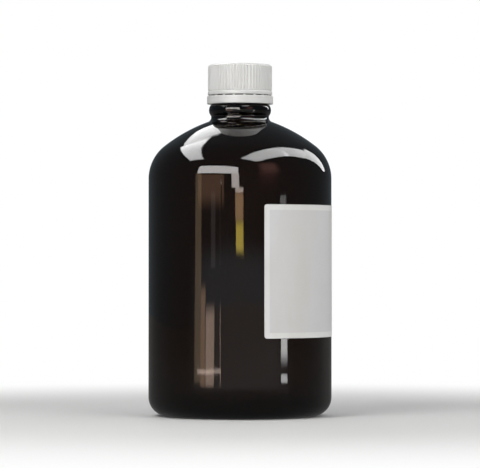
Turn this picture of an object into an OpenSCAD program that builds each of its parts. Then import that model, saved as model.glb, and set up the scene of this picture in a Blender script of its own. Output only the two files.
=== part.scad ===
// Reagent bottle for solvents: amber glass, wide body, low shoulder, with a
// ribbed screw cap, its two-layer liner, the ring that the cap leaves on the
// neck when it is first opened, and a paper label.
// Millimetres. The origin is the middle of the base, +Z is up, and the middle
// of the label faces -Y.

/* [Glass body] */
// Outside diameter of the body
body_d = 136; // [120:1:160]
// Height at which the straight wall ends and the shoulder starts
body_h = 176; // [130:1:220]
// Thickness of the glass in the wall and the shoulder
wall_t = 3.5; // [2.5:0.1:4.5]
// Radius of the heel, where the wall turns into the base
heel_r = 14; // [8:0.5:18]
// Thickness of the glass in the base
base_t = 5; // [4:0.5:8]
// Width of the flat ring that the bottle stands on
rest_ring_w = 8; // [4:0.5:14]
// Height of the push-up inside that ring
push_up_h = 6; // [2:0.5:9]

/* [Shoulder] */
// Radius that turns the wall into the shoulder
shoulder_r = 31; // [20:1:36]
// Slope of the shoulder at its outer end, in degrees from level
outer_slope = 38; // [32:1:45]
// Slope of the shoulder at the neck, in degrees from level
neck_slope = 20; // [12:1:26]
// Radius of the fillet between shoulder and neck
neck_fillet_r = 3.5; // [2:0.5:5]

/* [Neck] */
// Outside diameter of the neck
neck_d = 43; // [41.5:0.5:46]
// Plain height of the neck between its fillet and the neck ring
neck_h = 1; // [0.5:0.5:12]
// Height of the rounded neck ring
neck_ring_h = 8.5; // [5:0.5:12]
// How far the neck ring stands out from the neck
neck_ring_out = 1.6; // [0.6:0.1:2]
// Inside diameter of the mouth
bore_d = 30; // [24:0.5:31]
// Outside diameter of the glass between the turns of its thread
finish_d = 37.2; // [36:0.1:38.4]
// Radius of the rounded edges of the rim
rim_r = 1.3; // [0.5:0.1:1.5]

/* [Thread] */
// Rise of the thread in one turn
pitch = 4; // [3.6:0.1:5]
// Turns of thread on the glass and in the cap
thread_turns = 1.5; // [1:0.25:2]
// Depth of the thread on the glass
thread_depth = 1.4; // [1:0.1:1.6]
// Height of the glass thread at its foot
thread_foot = 2; // [1.4:0.1:2.2]
// Height of the glass thread at its crest
thread_crest = 0.9; // [0.5:0.1:1.2]
// Drop from the rim to the middle of the thread's upper end
thread_drop = 3.2; // [2:0.1:4]

/* [Locking bead] */
// Height of the glass bead that keeps the tamper ring on the neck
lock_bead_h = 2.8; // [2:0.1:3.4]
// How far that bead stands out from the glass
lock_bead_out = 1.8; // [1:0.1:2]
// Play between the bead and the tamper ring's lip
lock_play = 0.6; // [0.4:0.1:1]

/* [Screw cap] */
// Outside diameter over the ribs
cap_d = 47.8; // [45:0.2:52]
// Height of the cap above the tamper ring
cap_h = 22.6; // [22:0.2:30]
// Thickness of the cap's top
cap_top_t = 2.2; // [1.5:0.1:3]
// Radius of the cap's upper edge
cap_edge_r = 1.6; // [0.8:0.1:2.4]
// Number of grip ribs
rib_count = 60; // [30:1:80]
// Depth of the grooves between the ribs
rib_depth = 0.5; // [0.3:0.05:0.8]
// Height of the smooth bands above and below the ribs
rib_margin = 2.4; // [2.4:0.1:4]
// How far the ribs stand back from the lower band, and the top from the grooves
rib_step = 0.15; // [0.1:0.05:0.3]
// Radial gap between the thread crests and the wall that faces them
thread_gap = 0.4; // [0.3:0.05:0.5]

/* [Tamper ring] */
// Outside diameter of the ring
tamper_d = 49; // [46:0.2:53]
// Height of the ring
tamper_h = 6; // [5.5:0.1:9]
// Radial gap between the ring's wall and the locking bead
tamper_gap = 0.6; // [0.4:0.1:1]
// Height of the lip that catches under the locking bead
lip_h = 2; // [1:0.1:2]
// Height of the bridges, which is the slit between ring and cap
bridge_h = 0.8; // [0.4:0.1:1.2]
// Number of bridges
bridge_count = 18; // [6:1:24]
// Width of each bridge
bridge_w = 2; // [0.6:0.1:3]
// Gap between the neck ring and the tamper ring above it
seat_gap = 0.3; // [0.2:0.1:0.6]

/* [Liner] */
// Thickness of the foam disc
foam_t = 1.6; // [1:0.1:2.5]
// Thickness of the facing film under the foam
facing_t = 0.2; // [0.1:0.05:0.4]
// Radial gap between the liner's edge and the cap
liner_gap = 0.2; // [0.1:0.05:0.4]

/* [Label] */
// Length of the label round the body
label_w = 150; // [60:1:300]
// Height of the label
label_h = 97; // [40:1:110]
// Height of the label's lower edge above the base plane
label_z = 59; // [20:0.5:62]
// Thickness of the paper
label_t = 0.15; // [0.1:0.05:0.3]
// Thickness of the adhesive between glass and paper
glue_t = 0.05; // [0.05:0.05:0.1]

/* [Hidden] */
$fn = 128;

// Colours of the pieces
amber = [0.16, 0.07, 0.02];
cap_white = [0.93, 0.93, 0.92];
ring_white = [0.88, 0.89, 0.88];
foam_grey = [0.80, 0.80, 0.78];
film_white = [0.97, 0.97, 0.97];
paper = [0.83, 0.83, 0.82];

// Outline of the glass
body_r = body_d / 2;
neck_r = neck_d / 2;
finish_r = finish_d / 2;
bore_r = bore_d / 2;
push_up_r = body_r - heel_r - rest_ring_w;
push_up_arc_r = (push_up_r * push_up_r + push_up_h * push_up_h) / (2 * push_up_h);
push_up_angle = asin(push_up_r / push_up_arc_r);
// The shoulder is an arc from outer_slope to neck_slope, tangent at both ends
shoulder_out_r = body_r - shoulder_r * (1 - sin(outer_slope));
shoulder_in_r = neck_r + neck_fillet_r * (1 - sin(neck_slope));
dome_r = (shoulder_out_r - shoulder_in_r) / (sin(outer_slope) - sin(neck_slope));
dome_x = shoulder_out_r - dome_r * sin(outer_slope);
dome_z = body_h + shoulder_r * cos(outer_slope) - dome_r * cos(outer_slope);
neck_z = dome_z + (dome_r + neck_fillet_r) * cos(neck_slope);
// The inner fillet runs from the inside of that arc to the bore
dome_in_r = dome_r - wall_t;
throat_r = (dome_x + dome_in_r * sin(neck_slope) - bore_r) / (1 - sin(neck_slope));
throat_z = dome_z + (dome_in_r + throat_r) * cos(neck_slope);

// Levels from the neck ring up, each standing on the one below
neck_ring_z = neck_z + neck_h;
neck_ring_top_z = neck_ring_z + neck_ring_h;
neck_ring_arc_r = (pow(neck_ring_h / 2, 2) + pow(neck_ring_out, 2)) / (2 * neck_ring_out);
neck_ring_angle = asin(neck_ring_h / 2 / neck_ring_arc_r);
tamper_z = neck_ring_top_z + seat_gap;
cap_z = tamper_z + tamper_h + bridge_h;
cap_top_z = cap_z + cap_h;
foam_z = cap_top_z - cap_top_t - foam_t;
facing_z = foam_z - facing_t;
rim_z = facing_z;
lock_bead_z = tamper_z + lip_h + lock_play;
lock_bead_arc_r = (pow(lock_bead_h / 2, 2) + pow(lock_bead_out, 2)) / (2 * lock_bead_out);
lock_bead_angle = 2 * atan(lock_bead_out / (lock_bead_h / 2));

// Threads: the cap's ridge lies half a pitch below the one on the glass
thread_r = finish_r + thread_depth;
thread_z = rim_z - thread_drop - thread_turns * pitch;
cap_bore_r = thread_r + thread_gap;
cap_thread_r = finish_r + thread_gap;
cap_thread_foot = thread_foot - 0.4;
cap_thread_crest = thread_crest - 0.2;
thread_sink = 0.4;
thread_facets = 48;
run_in_angle = 30;
run_in_start = 0.15;

// Cap and ring
rib_tip_r = cap_d / 2 - rib_step;
rib_root_r = rib_tip_r - rib_depth;
cap_top_r = rib_root_r - rib_step;
rib_angle = 360 / rib_count;
liner_r = cap_bore_r - liner_gap;
tamper_bore_r = finish_r + lock_bead_out + tamper_gap;
lip_r = finish_r + lock_bead_out / 2;
tamper_edge_r = 0.5;
bridge_r = (tamper_bore_r + cap_d / 2) / 2;
bridge_t = 1.2;
bridge_sink = 0.2;

label_angle = label_w / (PI * body_d) * 360;

// Points along an arc, from angle a to angle b, about every arc_step degrees
arc_step = 5;
function arc(x, y, r, a, b, step = arc_step) =
    let (n = ceil(abs(b - a) / step))
    [for (i = [0:n]) [x + r * cos(a + (b - a) * i / n), y + r * sin(a + (b - a) * i / n)]];

// One slice of a thread ridge, from its foot to its tip
function ridge_slice(a, z, foot_r, tip_r, foot, crest) =
    let (mid_r = foot_r + (tip_r - foot_r) * 0.7)
    [for (p = [[foot_r, -foot / 2], [mid_r, -(foot + crest) / 4], [tip_r, -crest / 2],
               [tip_r, crest / 2], [mid_r, (foot + crest) / 4], [foot_r, foot / 2]])
        [p[0] * cos(a), p[0] * sin(a), z + p[1]]];

// A right-handed ridge that rises out of a wall at both of its ends
module thread_ridge(z, foot_r, tip_r, foot, crest) {
    n = ceil(thread_turns * thread_facets);
    sweep = 360 * thread_turns;
    slices = [for (i = [0:n])
        let (a = sweep * i / n,
             grown = min(1, run_in_start + min(a, sweep - a) / run_in_angle))
        ridge_slice(a, z + pitch * a / 360, foot_r, foot_r + (tip_r - foot_r) * grown, foot, crest)];
    m = len(slices[0]);
    inward = tip_r < foot_r;
    sides = [for (i = [0:n - 1], j = [0:m - 1])
        let (k = (j + 1) % m)
        each [[i * m + j, i * m + k, (i + 1) * m + k],
              [i * m + j, (i + 1) * m + k, (i + 1) * m + j]]];
    first = [for (j = [m - 1:-1:0]) j];
    last = [for (j = [0:m - 1]) n * m + j];
    faces = concat(sides, [first, last]);
    polyhedron(
        points = [for (s = slices, p = s) p],
        faces = inward ? [for (f = faces) [for (j = [len(f) - 1:-1:0]) f[j]]] : faces);
}

module glass_bottle() color(amber) {
    rotate_extrude() polygon(concat(
        // Outside, from the push-up to the rim
        arc(0, push_up_h - push_up_arc_r, push_up_arc_r, 90, 90 - push_up_angle, 4),
        arc(body_r - heel_r, heel_r, heel_r, -90, 0, 7.5),
        arc(body_r - shoulder_r, body_h, shoulder_r, 0, 90 - outer_slope, 4),
        arc(dome_x, dome_z, dome_r, 90 - outer_slope, 90 - neck_slope, 2),
        arc(neck_r + neck_fillet_r, neck_z, neck_fillet_r, 270 - neck_slope, 180, 10),
        arc(neck_r + neck_ring_out - neck_ring_arc_r, neck_ring_z + neck_ring_h / 2,
            neck_ring_arc_r, -neck_ring_angle, neck_ring_angle, 10),
        [[finish_r, neck_ring_top_z]],
        arc(finish_r + lock_bead_out - lock_bead_arc_r, lock_bead_z + lock_bead_h / 2,
            lock_bead_arc_r, -lock_bead_angle, lock_bead_angle, 15),
        arc(finish_r - rim_r, rim_z - rim_r, rim_r, 0, 90, 15),
        // Inside, from the rim to the middle of the base
        arc(bore_r + rim_r, rim_z - rim_r, rim_r, 90, 180, 15),
        arc(bore_r + throat_r, throat_z, throat_r, 180, 270 - neck_slope),
        arc(dome_x, dome_z, dome_in_r, 90 - neck_slope, 90 - outer_slope, 2),
        arc(body_r - shoulder_r, body_h, shoulder_r - wall_t, 90 - outer_slope, 0, 4),
        arc(body_r - heel_r, base_t + heel_r - wall_t, heel_r - wall_t, 0, -90, 7.5),
        arc(0, base_t + push_up_h - push_up_arc_r, push_up_arc_r, 90 - push_up_angle, 90, 4)));
    thread_ridge(thread_z, finish_r - thread_sink, thread_r, thread_foot, thread_crest);
}

// Outline of the ribbed skirt, seen from above
module rib_outline() {
    polygon([for (i = [0:rib_count - 1], p = [[-0.40, rib_root_r], [-0.18, rib_tip_r],
                                               [0.18, rib_tip_r], [0.40, rib_root_r]])
        [p[1] * cos((i + p[0]) * rib_angle), p[1] * sin((i + p[0]) * rib_angle)]]);
}

module screw_cap() color(cap_white) {
    difference() {
        union() {
            translate([0, 0, cap_z]) cylinder(h = rib_margin, r = cap_d / 2);
            translate([0, 0, cap_z + rib_margin]) linear_extrude(cap_h - 2 * rib_margin)
                rib_outline();
            rotate_extrude() polygon(concat(
                [[0, cap_top_z - rib_margin], [cap_top_r, cap_top_z - rib_margin]],
                arc(cap_top_r - cap_edge_r, cap_top_z - cap_edge_r, cap_edge_r, 0, 90, 15),
                [[0, cap_top_z]]));
        }
        translate([0, 0, cap_z - 1]) cylinder(h = cap_h - cap_top_t + 1, r = cap_bore_r);
    }
    thread_ridge(thread_z - pitch / 2, cap_bore_r + thread_sink, cap_thread_r,
                 cap_thread_foot, cap_thread_crest);
}

module liner_foam() color(foam_grey)
    translate([0, 0, foam_z]) cylinder(h = foam_t, r = liner_r);

module liner_facing() color(film_white)
    translate([0, 0, facing_z]) cylinder(h = facing_t, r = liner_r);

module tamper_ring() color(ring_white) {
    rotate_extrude() polygon(concat(
        arc(tamper_d / 2 - tamper_edge_r, tamper_z + tamper_edge_r, tamper_edge_r, -90, 0, 30),
        arc(tamper_d / 2 - tamper_edge_r, tamper_z + tamper_h - tamper_edge_r,
            tamper_edge_r, 0, 90, 30),
        [[tamper_bore_r, tamper_z + tamper_h],
         [tamper_bore_r, tamper_z + lip_h + tamper_bore_r - lip_r],
         [lip_r, tamper_z + lip_h],
         [lip_r, tamper_z]]));
    for (i = [0:bridge_count - 1])
        rotate(i * 360 / bridge_count)
            translate([bridge_r - bridge_t / 2, -bridge_w / 2, tamper_z + tamper_h - bridge_sink])
                cube([bridge_t, bridge_w, bridge_h + bridge_sink]);
}

module paper_label() color(paper)
    rotate(-90 - label_angle / 2)
        rotate_extrude(angle = label_angle)
            translate([body_r + glue_t, label_z]) square([label_t, label_h]);

glass_bottle();
screw_cap();
liner_foam();
liner_facing();
tamper_ring();
paper_label();
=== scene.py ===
"""Reagent bottle: glass, cap, liner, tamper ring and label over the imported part, on a stage."""

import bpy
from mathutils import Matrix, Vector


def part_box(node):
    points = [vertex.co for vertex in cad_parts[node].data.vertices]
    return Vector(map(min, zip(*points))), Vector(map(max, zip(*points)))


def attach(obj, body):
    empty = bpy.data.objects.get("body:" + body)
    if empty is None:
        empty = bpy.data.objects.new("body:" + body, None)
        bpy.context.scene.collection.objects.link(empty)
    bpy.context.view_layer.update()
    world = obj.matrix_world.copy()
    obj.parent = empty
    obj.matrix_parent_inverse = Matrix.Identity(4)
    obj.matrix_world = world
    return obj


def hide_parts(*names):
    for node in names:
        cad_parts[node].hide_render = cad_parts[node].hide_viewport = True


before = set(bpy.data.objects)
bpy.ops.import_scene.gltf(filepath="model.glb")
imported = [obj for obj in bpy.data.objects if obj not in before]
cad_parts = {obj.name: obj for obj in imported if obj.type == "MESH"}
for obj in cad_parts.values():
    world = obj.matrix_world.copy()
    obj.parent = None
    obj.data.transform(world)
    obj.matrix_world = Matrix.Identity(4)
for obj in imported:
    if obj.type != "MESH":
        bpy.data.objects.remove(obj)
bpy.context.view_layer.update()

import math

import bmesh
import bpy
from bpy.props import FloatProperty, FloatVectorProperty, IntProperty, PointerProperty
from mathutils import Matrix, Vector, noise

bl_info = {
    "name": "Reagent bottle",
    "version": (1, 0, 0),
    "blender": (4, 5, 0),
    "location": "View3D > Sidebar > Bottle",
    "description": "Builds an amber reagent bottle with screw cap, liner, tamper ring and label",
    "category": "Add Mesh",
}

MM = 0.001
TAU = 2 * math.pi
WHITE = (1.0, 1.0, 1.0)
SAME_POINT = 1e-7

# Columns of faces round the axis, and rows of points up a wall that carries a thread
GLASS_COLUMNS = 288
COLUMNS_PER_RIB = 10
RING_COLUMNS = 216
LINER_COLUMNS = 144
FLOOR_COLUMNS = 96
THREAD_ROWS = 62
LABEL_COLUMNS, LABEL_ROWS = 120, 72


def lowest(node):
    """Height of a part's underside."""
    return float(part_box(node)[0][2])


def highest(node):
    """Height of a part's top."""
    return float(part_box(node)[1][2])


def reach(node):
    """Largest distance of a round part from the bottle's axis."""
    return float(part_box(node)[1][0])


# ---------------- sizes and colours


def length(name, description, default):
    return FloatProperty(name=name, description=description, default=default, unit="LENGTH",
                         precision=5)


def angle(name, description, degrees):
    return FloatProperty(name=name, description=description, default=math.radians(degrees),
                         subtype="ANGLE")


def number(name, description, default):
    return FloatProperty(name=name, description=description, default=default)


def whole(name, description, default):
    return IntProperty(name=name, description=description, default=default)


def colour(name, description, default):
    return FloatVectorProperty(name=name, description=description, default=default,
                               subtype="COLOR", size=3, min=0.0, max=1.0)


class BottleGlass(bpy.types.PropertyGroup):
    """Sizes and colour of the glass."""

    body_radius: length("Body radius", "Outside radius of the body", reach("glass_bottle"))
    rim_height: length("Rim height", "Height of the rim above the base", highest("glass_bottle"))
    wall_top: length("Wall top", "Height at which the straight wall ends", 176 * MM)
    wall: length("Wall", "Thickness of wall and shoulder", 3.5 * MM)
    heel_radius: length("Heel radius", "Radius between wall and base", 14 * MM)
    base: length("Base", "Thickness of the base", 5 * MM)
    rest_ring: length("Rest ring", "Width of the ring that the bottle stands on", 8 * MM)
    push_up: length("Push-up", "Height of the push-up inside the rest ring", 6 * MM)
    knurl_count: whole("Knurls", "Number of knurls on the rest ring", 72)
    knurl_depth: length("Knurl depth", "Depth of the grooves between knurls", 0.3 * MM)
    shoulder_radius: length("Shoulder radius", "Radius between wall and shoulder", 31 * MM)
    outer_slope: angle("Outer slope", "Slope of the shoulder where it leaves that radius", 38)
    neck_slope: angle("Neck slope", "Slope of the shoulder at the neck", 20)
    neck_fillet: length("Neck fillet", "Radius between shoulder and neck", 3.5 * MM)
    neck_radius: length("Neck radius", "Outside radius of the neck", 21.5 * MM)
    neck_plain: length("Plain neck", "Height of neck under the neck ring", 1 * MM)
    neck_ring: length("Neck ring", "Height of the rounded neck ring", 8.5 * MM)
    neck_ring_out: length("Neck ring reach", "How far the neck ring stands out", 1.6 * MM)
    bore_radius: length("Bore radius", "Inside radius of the mouth", 15 * MM)
    finish_radius: length("Finish radius", "Radius of the glass under its thread", 18.6 * MM)
    rim_round: length("Rim rounding", "Radius of the rim's edges", 1.3 * MM)
    lock_bead: length("Locking bead", "Height of the bead that keeps the tamper ring", 2.8 * MM)
    lock_bead_out: length("Locking bead reach", "How far that bead stands out", 1.8 * MM)
    lock_bead_foot: length("Locking bead foot", "Height of that bead above the neck ring", 2.9 * MM)
    seam_out: length("Mould seam", "How far the two mould seams stand out", 0.09 * MM)
    seam_width: length("Seam width", "Width of a mould seam", 0.55 * MM)
    amber: colour("Amber", "Tint of light that passes the glass", (0.42, 0.26, 0.13))
    amber_depth: colour("Amber in depth", "Colour that thick glass absorbs towards",
                        (0.20, 0.17, 0.12))
    density: number("Density", "How fast thick glass darkens", 600.0)


class BottleThread(bpy.types.PropertyGroup):
    """The screw thread, which the glass and the cap share."""

    pitch: length("Pitch", "Rise in one turn", 4 * MM)
    turns: number("Turns", "Turns of thread", 1.5)
    depth: length("Depth", "Depth of the thread on the glass", 1.4 * MM)
    foot: length("Foot", "Height of the thread at its foot", 2.0 * MM)
    crest: length("Crest", "Height of the thread at its crest", 0.9 * MM)
    drop: length("Drop", "Drop from the rim to the thread's upper end", 3.2 * MM)
    gap: length("Gap", "Radial gap in front of the thread crests", 0.4 * MM)
    run_in: number("Run in", "Share of a turn in which an end grows", 0.09)


class BottleClosure(bpy.types.PropertyGroup):
    """Sizes and colours of cap, liner and tamper ring."""

    cap_radius: length("Cap radius", "Radius of the cap over its lower band", reach("screw_cap"))
    cap_foot: length("Cap foot", "Height of the cap's lower edge", lowest("screw_cap"))
    cap_top: length("Cap top", "Height of the cap's top", highest("screw_cap"))
    top_plate: length("Top plate", "Thickness of the cap's top", 2.2 * MM)
    edge_radius: length("Edge radius", "Radius of the cap's upper edge", 1.6 * MM)
    band: length("Band", "Height of the smooth bands above and below the ribs", 2.4 * MM)
    rib_count: whole("Ribs", "Number of grip ribs", 60)
    rib_depth: length("Rib depth", "Depth of the grooves between ribs", 0.55 * MM)
    rib_step: length("Rib step", "How far the ribs stand back from the band", 0.15 * MM)
    dish: length("Dish", "Depth of the shallow dish in the cap's top", 0.3 * MM)
    ring_radius: length("Ring radius", "Outside radius of the tamper ring", reach("tamper_ring"))
    ring_foot: length("Ring foot", "Height of the ring's lower edge", lowest("tamper_ring"))
    bridge_height: length("Bridge height", "Height of the bridges above the ring", 0.8 * MM)
    bridge_count: whole("Bridges", "Number of bridges", 18)
    bridge_width: length("Bridge width", "Width of a bridge", 2.0 * MM)
    bridge_thickness: length("Bridge thickness", "Thickness of a bridge", 1.2 * MM)
    lip_height: length("Lip height", "Height of the lip under the locking bead", 2.0 * MM)
    lip_radius: length("Lip radius", "Inside radius of that lip", 19.5 * MM)
    ring_bore: length("Ring bore", "Inside radius of the ring", 21.0 * MM)
    liner_radius: length("Liner radius", "Radius of the liner", reach("liner_foam"))
    white: colour("Cap white", "Colour of cap and ring", (0.62, 0.62, 0.61))
    foam: colour("Foam", "Colour of the foam disc", (0.68, 0.68, 0.65))


class BottleLabel(bpy.types.PropertyGroup):
    """Sizes and colours of the label."""

    radius: length("Radius", "Radius of the outer face", -float(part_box("paper_label")[0][1]))
    half_width: length("Half width", "Half the straight width across the label's ends",
                       reach("paper_label"))
    foot: length("Foot", "Height of the lower edge", lowest("paper_label"))
    top: length("Top", "Height of the upper edge", highest("paper_label"))
    paper: length("Paper", "Thickness of the paper", 0.15 * MM)
    corner: length("Corner", "Radius of the corners", 2.0 * MM)
    margin: length("Margin", "Width of the unprinted border", 4.0 * MM)
    lift: length("Lift", "How far the edges have come off the glass", 0.25 * MM)
    white: colour("Paper white", "Colour of the paper", (0.66, 0.66, 0.65))
    panel: colour("Panel", "Pale tint of the blank writing panel", (0.565, 0.56, 0.565))


class BottleStage(bpy.types.PropertyGroup):
    """Camera and floor."""

    azimuth: angle("Azimuth", "Side from which the camera looks", -78.2)
    distance: length("Distance", "Distance of the camera from the bottle's axis", 2.25)
    eye: length("Eye height", "Height of the camera", 0.118)
    aim: length("Aim height", "Height at which the camera looks", 0.135)
    lens: number("Lens", "Focal length in millimetres", 227.0)
    floor_radius: length("Floor radius", "Radius of the floor", 4.0)
    floor: colour("Floor", "Colour of the floor", (0.66, 0.66, 0.65))


def chosen(group):
    """The sizes and colours of one group, as they are set now."""
    return getattr(bpy.context.scene, "bottle_" + group)


# ---------------- outlines and meshes


def arc(x, z, r, start, end, steps):
    """Points along an arc round (x, z), from one angle to another, in degrees."""
    turn = (end - start) / steps
    angles = [math.radians(start + turn * i) for i in range(steps + 1)]
    return [(x + r * math.cos(a), z + r * math.sin(a)) for a in angles]


def straight(start, end, steps):
    """Points between two others, without the two ends."""
    return [(start[0] + (end[0] - start[0]) * i / steps, start[1] + (end[1] - start[1]) * i / steps)
            for i in range(1, steps)]


def bulge(width, height):
    """Radius of the arc that stands out by a height over a width, and half its turn in degrees."""
    r = ((width / 2) ** 2 + height ** 2) / (2 * height)
    return r, math.degrees(2 * math.atan(height / (width / 2)))


def even_columns(count):
    return [TAU * i / count for i in range(count)]


def without_doubles(points):
    kept = [points[0]]
    for p in points[1:]:
        if math.dist(p, kept[-1]) > SAME_POINT:
            kept.append(p)
    return kept


def revolve(name, outline, columns, closed=False, shape=None):
    """A mesh turned round Z. The outline runs from axis to axis, or is a closed loop;
    shape(r, z, a) gives the radius there."""
    verts, rings, faces = [], [], []
    for r, z in without_doubles(outline):
        if r < SAME_POINT:
            rings.append([len(verts)])
            verts.append((0.0, 0.0, z))
            continue
        rings.append(range(len(verts), len(verts) + len(columns)))
        for a in columns:
            here = shape(r, z, a) if shape else r
            verts.append((here * math.cos(a), here * math.sin(a), z))
    pairs = list(zip(rings, rings[1:]))
    if closed:
        pairs.append((rings[-1], rings[0]))
    for low, high in pairs:
        for i in range(len(columns)):
            j = (i + 1) % len(columns)
            if len(low) == 1:
                faces.append((low[0], high[j], high[i]))
            elif len(high) == 1:
                faces.append((low[i], low[j], high[0]))
            else:
                faces.append((low[i], low[j], high[j], high[i]))
    mesh = bpy.data.meshes.new(name)
    mesh.from_pydata(verts, [], faces)
    return finished(name, mesh)


def finished(name, mesh):
    """A smooth-shaded object of a closed mesh, with its faces pointing outwards."""
    work = bmesh.new()
    work.from_mesh(mesh)
    bmesh.ops.remove_doubles(work, verts=work.verts, dist=1e-8)
    bmesh.ops.recalc_face_normals(work, faces=work.faces)
    work.to_mesh(mesh)
    work.free()
    mesh.polygons.foreach_set("use_smooth", [True] * len(mesh.polygons))
    return added(name, mesh)


def added(name, data):
    """An object of a mesh, a lamp or a camera, in the scene."""
    item = bpy.data.objects.new(name, data)
    bpy.context.collection.objects.link(item)
    return item


# ---------------- nodes


class NodeWriter:
    """Writes nodes into a tree. Values may be numbers or sockets."""

    def __init__(self, tree):
        self.tree = tree

    def feed(self, socket, value):
        if isinstance(value, bpy.types.NodeSocket):
            self.tree.links.new(value, socket)
        else:
            socket.default_value = value

    def node(self, kind, **inputs):
        """A new node with some inputs fed. Their names have _ in place of a space."""
        node = self.tree.nodes.new(kind)
        for name, value in inputs.items():
            self.feed(node.inputs[name.replace("_", " ")], value)
        return node

    def read(self, kind, output):
        return self.node(kind).outputs[output]

    def socket(self, name, kind="Float", in_out="INPUT"):
        """A new input or output of the tree itself."""
        return self.tree.interface.new_socket(name, in_out=in_out, socket_type="NodeSocket" + kind)

    def __call__(self, operation, *values):
        node = self.node("ShaderNodeMath")
        node.operation = operation
        for socket, value in zip(node.inputs, values):
            self.feed(socket, value)
        return node.outputs[0]

    def total(self, first, *others):
        for value in others:
            first = self("ADD", first, value)
        return first

    def product(self, first, *others):
        for value in others:
            first = self("MULTIPLY", first, value)
        return first

    def minus(self, first, second):
        return self("SUBTRACT", first, second)

    def over(self, first, second):
        return self("DIVIDE", first, second)

    def distance(self, x, y):
        """Distance of (x, y) from the axis."""
        return self("SQRT", self.total(self.product(x, x), self.product(y, y)))

    def ramp(self, value, start, end):
        """0 at start, 1 at end, and smooth between them."""
        node = self.node("ShaderNodeMapRange", Value=value, From_Min=start, From_Max=end)
        node.interpolation_type = "SMOOTHSTEP"
        return node.outputs["Result"]

    def vector(self, x=0.0, y=0.0, z=0.0):
        return self.node("ShaderNodeCombineXYZ", X=x, Y=y, Z=z).outputs[0]

    def split(self, vector):
        """The x, y and z of a vector."""
        return self.node("ShaderNodeSeparateXYZ", Vector=vector).outputs

    def mix(self, factor, first, second):
        """A colour between two others, which are triples or sockets."""
        node = self.node("ShaderNodeMix")
        node.data_type = "RGBA"
        for name, value in (("Factor", factor), ("A", first), ("B", second)):
            self.feed(node.inputs[name], (*value, 1.0) if isinstance(value, tuple) else value)
        return node.outputs["Result"]

    def noise(self, scale, detail=2.0, roughness=0.5, stretch=(1.0, 1.0, 1.0)):
        """Noise over the object's own coordinates, about 0.5."""
        place = self.read("ShaderNodeTexCoord", "Object")
        stretched = self.node("ShaderNodeMapping", Vector=place, Scale=stretch).outputs["Vector"]
        return self.node("ShaderNodeTexNoise", Vector=stretched, Scale=scale, Detail=detail,
                         Roughness=roughness).outputs["Fac"]


class ShapingTree(NodeWriter):
    """A geometry node tree that moves or adds to the mesh it is given, and gives it a material."""

    def __init__(self, name, *sizes):
        super().__init__(bpy.data.node_groups.new(name, "GeometryNodeTree"))
        self.socket("Geometry", "Geometry")
        self.identifiers = {size: self.socket(size).identifier for size in sizes}
        self.identifiers["Material"] = self.socket("Material", "Material").identifier
        self.socket("Geometry", "Geometry", "OUTPUT")
        self.inputs = self.node("NodeGroupInput").outputs

    def here(self):
        """Sockets of x, y and z of each point."""
        return self.split(self.read("GeometryNodeInputPosition", "Position"))

    def turn(self, x, y):
        """Turn of each point round the axis, from 0 to 1."""
        return self("FRACT", self.over(self("ARCTAN2", y, x), TAU))

    def waves(self, x, y):
        """A cosine that goes Count times round the axis."""
        return self("COSINE", self.product(self.turn(x, y), self.inputs["Count"], TAU))

    def moved(self, geometry, offset):
        return self.node("GeometryNodeSetPosition", Geometry=geometry, Offset=offset).outputs[0]

    def outwards(self, x, y, r, height):
        """Moves the points away from the axis by a height."""
        share = self.over(height, self("MAXIMUM", r, 1e-6))
        offset = self.vector(self.product(x, share), self.product(y, share))
        return self.moved(self.inputs["Geometry"], offset)

    def end(self, geometry):
        """Realize Instances and Set Material, as the tree's last nodes."""
        real = self.node("GeometryNodeRealizeInstances", Geometry=geometry)
        paint = self.node("GeometryNodeSetMaterial", Geometry=real.outputs[0],
                          Material=self.inputs["Material"])
        self.node("NodeGroupOutput", Geometry=paint.outputs[0])
        return self

    def shape(self, piece, material, sizes):
        """Runs the tree on a piece and keeps the result as its plain mesh."""
        modifier = piece.modifiers.new(self.tree.name, "NODES")
        modifier.node_group = self.tree
        modifier[self.identifiers["Material"]] = material
        for size, value in sizes.items():
            modifier[self.identifiers[size]] = float(value)
        evaluated = piece.evaluated_get(bpy.context.evaluated_depsgraph_get())
        shaped = bpy.data.meshes.new_from_object(evaluated)
        piece.modifiers.remove(modifier)
        piece.data = shaped


def thread_ridge_tree():
    """A helical ridge on a round wall: outwards, or inwards for a negative depth."""
    tree = ShapingTree("Thread Ridge", "Wall Radius", "Depth", "Pitch", "Turns", "Start", "Foot",
                       "Crest", "Run In")
    size = tree.inputs
    x, y, z = tree.here()
    r, turn = tree.distance(x, y), tree.turn(x, y)
    laps = tree.minus(tree.over(tree.minus(z, size["Start"]), size["Pitch"]), turn)
    lap = tree("ROUND", laps)
    away = tree.product(tree("ABSOLUTE", tree.minus(laps, lap)), size["Pitch"])
    ridge = tree.ramp(away, tree.over(size["Foot"], 2.0), tree.over(size["Crest"], 2.0))
    along = tree.total(lap, turn)
    nearest_end = tree("MINIMUM", along, tree.minus(size["Turns"], along))
    grown = tree.ramp(nearest_end, 0.0, size["Run In"])
    on_wall = tree("COMPARE", r, size["Wall Radius"], 0.05 * MM)
    height = tree.product(ridge, grown, on_wall, size["Depth"])
    return tree.end(tree.outwards(x, y, r, height))


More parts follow.
